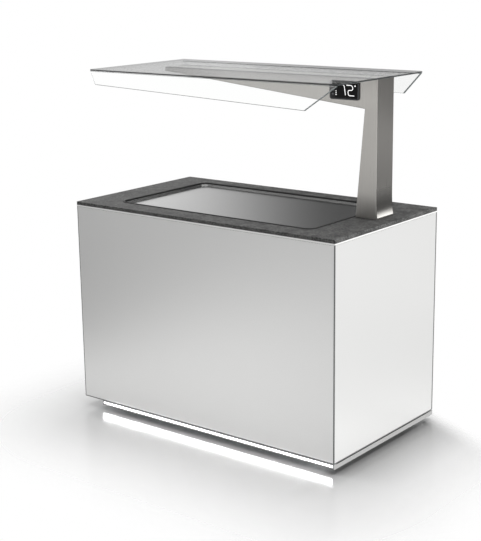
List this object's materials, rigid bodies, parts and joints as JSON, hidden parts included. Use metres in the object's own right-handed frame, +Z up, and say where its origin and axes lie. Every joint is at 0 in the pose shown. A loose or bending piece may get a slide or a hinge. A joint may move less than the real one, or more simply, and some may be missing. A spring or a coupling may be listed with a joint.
{
  "type": "refrigerated buffet counter",
  "caption": "Free-standing buffet counter with a recessed cold plate in a stone worktop, a light strip at its base and a glass canopy cantilevered from one post.",
  "frame": {"origin": "on the floor under the middle of the body", "axes": "+X along the counter to the guest's right, towards the post; +Y to the back, where the door is; +Z up"},
  "size_m": [1.3, 0.73, 1.445],
  "materials": {
    "panel_lacquer": "satin",
    "frame_steel": "satin",
    "worktop_stone": "satin",
    "trim_aluminium": "satin",
    "plate_steel": "satin",
    "seal_rubber": "matte",
    "post_steel": "satin",
    "top_glass": "gloss",
    "flap_glass": "gloss",
    "bond_black": "satin",
    "light_opal": "satin",
    "light_board": "satin",
    "controller_black": "gloss",
    "controller_window": "gloss",
    "display_white": "matte",
    "key_grey": "satin",
    "copper": "satin",
    "brass": "satin",
    "foam": "matte",
    "compressor_black": "satin",
    "fin_aluminium": "satin",
    "sheet_galvanised": "satin",
    "black_plastic": "satin",
    "grey_plastic": "satin",
    "mount_rubber": "matte",
    "lever_red": "satin",
    "foot_steel": "satin",
    "cable_black": "satin"
  },
  "bodies": {
    "counter": {"base_tray": "sheet_galvanised", "corner_uprights": "frame_steel", "top_rails": "frame_steel", "front_panel": "panel_lacquer", "left_end_panel": "panel_lacquer", "right_end_panel": "panel_lacquer", "rear_panel": "panel_lacquer", "door_bottom_pivot": "frame_steel", "door_top_pivot": "frame_steel", "worktop_trim": "trim_aluminium", "worktop": "worktop_stone", "light_cover": "light_opal", "light_board": "light_board", "right_base_band": "panel_lacquer", "plate_seal": "seal_rubber", "cold_plate": "plate_steel", "evaporator_coil": "copper", "insulation": "foam", "well_tray": "sheet_galvanised", "drain_outlet": "plate_steel", "drain_valve": "brass", "unit_base": "sheet_galvanised", "compressor": "compressor_black", "compressor_mounts": "mount_rubber", "terminal_cover": "black_plastic", "condenser": "fin_aluminium", "fan_shroud": "sheet_galvanised", "fan_motor": "sheet_galvanised", "filter_drier": "copper", "discharge_line": "copper", "liquid_line": "copper", "suction_line": "copper", "electrical_box": "grey_plastic", "mains_gland": "black_plastic", "switch_frame": "black_plastic", "spreader_plate": "frame_steel", "post_bolts": "frame_steel", "post_shell": "post_steel", "post_cover": "post_steel", "canopy_core": "frame_steel", "glass_bond": "bond_black", "top_glass": "top_glass", "front_flap": "flap_glass", "rear_flap": "flap_glass", "controller_case": "controller_black", "controller_window": "controller_window", "display_digits": "display_white", "controller_cable": "cable_black"},
    "service_door": {"service_door": "panel_lacquer"},
    "door_latch": {"door_latch": "black_plastic"},
    "switch_rocker": {"switch_rocker": "black_plastic"},
    "condenser_fan": {"fan": "black_plastic"},
    "drain_lever": {"valve_lever": "lever_red"},
    "levelling_foot_front_left": {"levelling_foot_front_left": "foot_steel"},
    "levelling_foot_front_right": {"levelling_foot_front_right": "foot_steel"},
    "levelling_foot_rear_left": {"levelling_foot_rear_left": "foot_steel"},
    "levelling_foot_rear_right": {"levelling_foot_rear_right": "foot_steel"},
    "key_upper": {"key_upper": "key_grey"},
    "key_middle": {"key_middle": "key_grey"},
    "key_lower": {"key_lower": "key_grey"}
  },
  "joints": [
    {"name": "door_swing", "type": "hinge", "parent": "counter", "child": "service_door", "pos_m": [0.6245, 0.3535, 0.46], "axis": [0, 0, -1], "range_deg": [0, 90]},
    {"name": "latch_turn", "type": "hinge", "parent": "service_door", "child": "door_latch", "pos_m": [0.076, 0.36, 0.48], "axis": [0, -1, 0], "range_deg": [0, 90]},
    {"name": "switch_rock", "type": "hinge", "parent": "counter", "child": "switch_rocker", "pos_m": [-0.071, 0.3575, 0.76], "axis": [-1, 0, 0], "range_deg": [0, 16]},
    {"name": "fan_spin", "type": "hinge", "parent": "counter", "child": "condenser_fan", "pos_m": [0.22, 0.212, 0.182], "axis": [0, 1, 0], "continuous": true},
    {"name": "drain_lever_turn", "type": "hinge", "parent": "counter", "child": "drain_lever", "pos_m": [0.436, 0.2673, 0.7657], "axis": [0, -1, 0], "range_deg": [0, 90]},
    {"name": "key_upper_press", "type": "slide", "parent": "counter", "child": "key_upper", "axis": [0, 1, 0], "range_m": [0, 0.0008], "stiffness_N_per_m": 2500},
    {"name": "key_middle_press", "type": "slide", "parent": "counter", "child": "key_middle", "axis": [0, 1, 0], "range_m": [0, 0.0008], "stiffness_N_per_m": 2500},
    {"name": "key_lower_press", "type": "slide", "parent": "counter", "child": "key_lower", "axis": [0, 1, 0], "range_m": [0, 0.0008], "stiffness_N_per_m": 2500},
    {"name": "foot_front_left_screw", "type": "slide", "parent": "counter", "child": "levelling_foot_front_left", "axis": [0, 0, -1], "range_m": [0, 0.02]},
    {"name": "foot_front_right_screw", "type": "slide", "parent": "counter", "child": "levelling_foot_front_right", "axis": [0, 0, -1], "range_m": [0, 0.02]},
    {"name": "foot_rear_left_screw", "type": "slide", "parent": "counter", "child": "levelling_foot_rear_left", "axis": [0, 0, -1], "range_m": [0, 0.02]},
    {"name": "foot_rear_right_screw", "type": "slide", "parent": "counter", "child": "levelling_foot_rear_right", "axis": [0, 0, -1], "range_m": [0, 0.02]}
  ]
}
